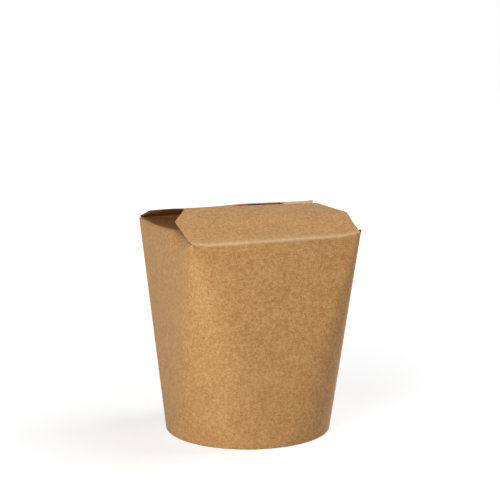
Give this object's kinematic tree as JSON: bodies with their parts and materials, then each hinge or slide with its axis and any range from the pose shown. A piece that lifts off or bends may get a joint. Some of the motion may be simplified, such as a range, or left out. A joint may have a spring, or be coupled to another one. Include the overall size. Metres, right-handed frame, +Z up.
{
  "type": "folded paperboard snack box",
  "caption": "Take-away food box folded from brown paperboard, with a round foot, a square mouth and flaps that close as a low roof held by a tongue in a slot.",
  "frame": {"origin": "the middle of the round foot, on the surface that the box stands on", "axes": "+Z up; the closing flap's crease is on the -Y side and runs along X; +X is to the right seen from the front"},
  "size_m": [0.0946, 0.0872, 0.1209],
  "materials": {
    "kraft_board": "uncoated kraft, matt, with a fine fibre grain"
  },
  "bodies": {
    "box": {"carton": "kraft_board", "base_disc": "kraft_board"},
    "closing_flap": {"front_flap": "kraft_board"}
  },
  "joints": [
    {"name": "front_flap_fold", "type": "hinge", "parent": "box", "child": "closing_flap", "pos_m": [0, -0.04272, 0.10977], "axis": [1, 0, 0], "range_deg": [0, 165]}
  ]
}
